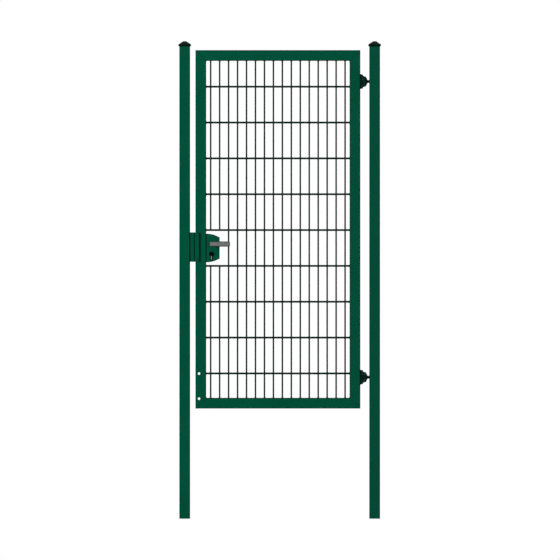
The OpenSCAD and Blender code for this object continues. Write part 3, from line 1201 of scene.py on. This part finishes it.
@dataclass
class LockSet(SubAssembly):
    """Lock case with covers, flush plate, latch, bolt, cylinder and roses."""

    plate_x: float = -1000.0
    plate_screws: tuple[float, ...] = (1442.0, 1580.0)
    plate_screw: tuple[float, float] = (3.6, 0.7)
    case_edge: float = 0.8
    cover_y: float = 20.0
    cover_edge: float = 0.2
    cover_round: float = 2.7
    cover_heal: float = 0.4
    cylinder_x: float = -911.0
    cylinder_y: float = 24.0
    cylinder_z: float = 1477.0
    cylinder_r: float = 8.5
    cylinder_edge: float = 0.3
    cylinder_round: float = 1.3
    plug_edge: float = 0.35
    collar_edge: float = 0.5
    web_r: float = 3.0
    web_drop: float = 28.5
    seat_half_y: float = 16.0
    seat_wall: float = 1.2
    seat_bite: float = 0.15
    outline_steps: tuple[int, int] = (32, 12)
    flush_edges: tuple[tuple[str, float], ...] = (
        ("lock_forend", 0.3), ("latch_bolt", 0.7), ("dead_bolt", 0.7),
    )
    cover_screws: tuple[tuple[float, float], ...] = (
        (-930.0, 1446.0), (-930.0, 1574.0), (-877.0, 1505.0),
    )
    cover_screw: tuple[float, float] = (4.2, 2.2)

    def keyhole(self, grow: float, y: float) -> list[Vector]:
        """Outline of the cylinder: a circle with a web below it.

        Args:
            grow: how far it is drawn outside the cylinder.
            y: its depth.

        Returns:
            Points of the outline.
        """
        outer, web = self.cylinder_r + grow, self.web_r + grow
        spread = math.asin(web / outer)
        points = []
        round_steps, web_steps = self.outline_steps
        for r, drop, start, sweep, steps in (
            (outer, 0.0, spread - TURN / 4, TURN - 2 * spread, round_steps),
            (web, self.web_drop, TURN / 2, TURN / 2, web_steps),
        ):
            centre = Vector((self.cylinder_x, y, self.cylinder_z - drop))
            for angle in (start + sweep * i / steps for i in range(steps + 1)):
                points.append(centre + (RIGHT * math.cos(angle) + UP * math.sin(angle)) * r)
        return points

    def seat(self) -> Stock:
        """The sleeve inside the case that the cylinder sits in.

        Returns:
            The sleeve's stock.
        """
        low, high, half = -self.seat_bite, self.seat_wall, self.seat_half_y
        section = ((low, -half), (high, -half), (high, half), (low, half))
        stock = Stock()
        stock.loft([self.keyhole(grow, y) for grow, y in section], loop=True)
        return stock

    def build(self, shop: Workshop) -> None:
        """Finishes the lock's pieces and adds their screws.

        Args:
            shop: the workshop with the finishes.
        """
        shop.soften("lock_case", Body.LEAF, Slot.GREEN, self.case_edge)
        for name, side in (("front", Side.FRONT), ("back", Side.REAR)):
            rim = Rim(side.value * self.cover_y, self.cover_round, self.cover_heal)
            shop.soften(f"{name}_lock_cover", Body.LEAF, Slot.GREEN, self.cover_edge, rims=(rim,))
        for node, width in self.flush_edges:
            shop.soften(node, Body.LEAF, Slot.NICKEL, width)
        faces = [Rim(side.value * self.cylinder_y, self.cylinder_round) for side in Side]
        shop.soften("lock_cylinder", Body.LEAF, Slot.NICKEL, self.cylinder_edge, rims=faces)
        shop.add(self.seat(), "cylinder_seat", Body.LEAF, Slot.ZINC)
        for name in ("front", "back"):
            shop.soften(f"{name}_plug", Body.LEAF, Slot.PLUG, self.plug_edge)
            shop.soften(f"{name}_collar", Body.LEAF, Slot.COLLAR, self.collar_edge)
        shop.dress(Slot.COLLAR, "front_rose", "back_rose")
        plate, cover = Stock(), Stock()
        for z in self.plate_screws:
            plate.screw(placed(Vector((self.plate_x, 0, z)), -RIGHT), *self.plate_screw)
        for x, z in self.cover_screws:
            cover.screw(placed(Vector((x, self.cover_y, z)), BACK), *self.cover_screw)
        shop.add(plate, "forend_screws", Body.LEAF, Slot.NICKEL)
        shop.add(cover, "back_cover_screws", Body.LEAF, Slot.ZINC)


@dataclass
class LeverSet(SubAssembly):
    """Two lever handles on one square spindle."""

    voxel: float = 0.85
    passes: int = 8
    pull: float = 0.5
    ease: float = 0.9997

    def build(self, shop: Workshop) -> None:
        """Fuses each lever's neck into its grip.

        Args:
            shop: the workshop with the finishes.
        """
        shop.dress(Slot.ZINC, "lever_spindle")
        for name in ("front", "back"):
            node = f"{name}_lever"
            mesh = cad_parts[node].data.copy()
            shape = bmesh.new()
            shape.from_mesh(mesh)
            bmesh.ops.remove_doubles(shape, verts=shape.verts, dist=Rim.heal * MM)
            bmesh.ops.scale(shape, vec=(1, self.ease, 1), verts=shape.verts)
            shape.to_mesh(mesh)
            shape.free()
            mesh.name = f"{node}_handle"
            piece = shop.hang(mesh, f"{node}_handle", Body.LEVERS, Slot.GRIP, node)
            fuse = piece.modifiers.new("fuse", "REMESH")
            fuse.mode, fuse.voxel_size, fuse.use_smooth_shade = "VOXEL", self.voxel * MM, True
            blend = piece.modifiers.new("blend", "SMOOTH")
            blend.factor, blend.iterations = self.pull, self.passes


@dataclass
class Keeper(SubAssembly):
    """Keeper box on the lock post with its stop flange, screwed through its strike face."""

    face_x: float = -1006.0
    front_y: float = -33.0
    front_round: float = 3.6
    edge: float = 1.4
    screws: tuple[float, ...] = (1447.0, 1505.0, 1578.0)
    screw: tuple[float, float] = (3.6, 1.0)

    def build(self, shop: Workshop) -> None:
        """Finishes the keeper and adds its screws.

        Args:
            shop: the workshop with the finishes.
        """
        rim = Rim(self.front_y, self.front_round)
        shop.soften("keeper", Body.POSTS, Slot.GREEN, self.edge, rims=(rim,))
        heads = Stock()
        for z in self.screws:
            heads.screw(placed(Vector((self.face_x, 0, z)), RIGHT), *self.screw)
        shop.add(heads, "keeper_screws", Body.POSTS, Slot.ZINC)


@dataclass
class AreaLight:
    """One soft light of the studio."""

    name: str
    at: Point
    size: float
    watts: float


@dataclass
class Studio:
    """Pale floor, white surround, soft lights and the photograph's square-on view."""

    middle: Point = (-0.5282, 0.0, 1.3323)
    view_width: float = 3.125
    view_distance: float = 9.0
    floor_radius: float = 30.0
    floor_hole: float = 0.001
    floor_drop: float = 0.001
    floor_fade: tuple[float, float] = (3.0, 9.0)
    floor_tones: tuple[Colour, Colour] = ((0.92, 0.92, 0.92), (0.95, 0.95, 0.95))
    speck_scale: float = 40.0
    ambient: float = 0.08
    lights: tuple[AreaLight, ...] = (
        AreaLight("key", (-15.5, -11.6, 6.3), 3.5, 3820.0),
        AreaLight("rear", (0.6, 8.0, 3.6), 5.0, 300.0),
        AreaLight("left", (-7.5, -1.5, 3.0), 4.0, 60.0),
        AreaLight("right", (6.5, 1.5, 3.0), 4.0, 80.0),
    )

    def camera(self) -> None:
        """A level view along the depth, with no perspective."""
        data = bpy.data.cameras.new("front_view")
        data.type, data.ortho_scale = "ORTHO", self.view_width
        viewer = bpy.data.objects.new("front_view", data)
        viewer.location = Vector(self.middle) - BACK * self.view_distance
        viewer.rotation_euler = (math.pi / 2, 0, 0)
        bpy.context.scene.collection.objects.link(viewer)
        bpy.context.scene.camera = viewer

    def lamps(self) -> None:
        """The soft lights, each turned to the middle of the gate."""
        for light in self.lights:
            data = bpy.data.lights.new(light.name, "AREA")
            data.shape, data.size, data.energy = "DISK", light.size, light.watts
            lamp = bpy.data.objects.new(light.name, data)
            lamp.location = light.at
            aim = Vector(self.middle) - Vector(light.at)
            lamp.rotation_euler = aim.to_track_quat("-Z", "Y").to_euler()
            bpy.context.scene.collection.objects.link(lamp)

    def seen(self, tree: NodeTree) -> Sock:
        """Finds the rays that show the background, straight or in a reflection.

        Args:
            tree: where the nodes go.

        Returns:
            1 for those rays.
        """
        kinds = ("Camera", "Glossy", "Transmission")
        camera, glossy, through = (
            tree.node("ShaderNodeLightPath", out=f"Is {kind} Ray") for kind in kinds
        )
        return camera + glossy + through

    def surround(self) -> None:
        """A world that is white to the eye and gives a little even light."""
        world = bpy.data.worlds.new("surround")
        bpy.context.scene.world = world
        tree = NodeTree(world)
        even = tree.node("ShaderNodeBackground", None, {"Color": WHITE, "Strength": self.ambient})
        bright = tree.node("ShaderNodeBackground", None, {"Color": WHITE, "Strength": 1.0})
        both = tree.node("ShaderNodeMixShader", None, {0: self.seen(tree), 1: even, 2: bright})
        tree.node("ShaderNodeOutputWorld", None, {"Surface": both})

    def floor(self) -> None:
        """A wide pale floor that fades to white towards its rim."""
        stock = Stock()
        level = Matrix.Translation((self.middle[0] / MM, 0, -self.floor_drop / MM))
        rings = [(self.floor_radius / MM, 0.0), (self.floor_hole / MM, 0.0)]
        stock.lathe(rings, level, steps=96)
        quads = [face for face in stock.faces if len(face) == 4]
        mesh = bpy.data.meshes.new("floor")
        mesh.from_pydata([p * MM for p in stock.points], [], quads)
        floor = bpy.data.objects.new("floor", mesh)
        bpy.context.scene.collection.objects.link(floor)
        made = bpy.data.materials.new("floor_paint")
        tree = NodeTree(made)
        at = tree.place()
        far = tree.node("ShaderNodeVectorMath", {"operation": "LENGTH"}, {0: at}, out="Value")
        speck = tree.noise(at, self.speck_scale, detail=3.0)
        pale = tree.mix(speck, *self.floor_tones)
        matt = tree.node("ShaderNodeBsdfDiffuse", None, {"Color": pale})
        white = tree.node("ShaderNodeEmission", None, {"Color": WHITE, "Strength": 1.0})
        fade = far.step(*self.floor_fade) * self.seen(tree)
        both = tree.node("ShaderNodeMixShader", None, {0: fade, 1: matt, 2: white})
        tree.node("ShaderNodeOutputMaterial", None, {"Surface": both})
        mesh.materials.append(made)

    def build(self) -> None:
        """Sets the studio up."""
        bpy.context.scene.view_settings.view_transform = "Standard"
        self.camera()
        self.lamps()
        self.surround()
        self.floor()
        log.info("studio ready")


def main() -> None:
    """Builds the studio and each sub-assembly."""
    logging.basicConfig(level=logging.INFO, format="%(name)s: %(message)s")
    Studio().build()
    shop = Workshop(FINISHES)
    for part in (PostPair(), LeafFrame(), MeshPanel(), HingeSet(), LockSet(), LeverSet(), Keeper()):
        log.info("building %s", type(part).__name__)
        part.build(shop)


if __name__ == "__main__":
    main()
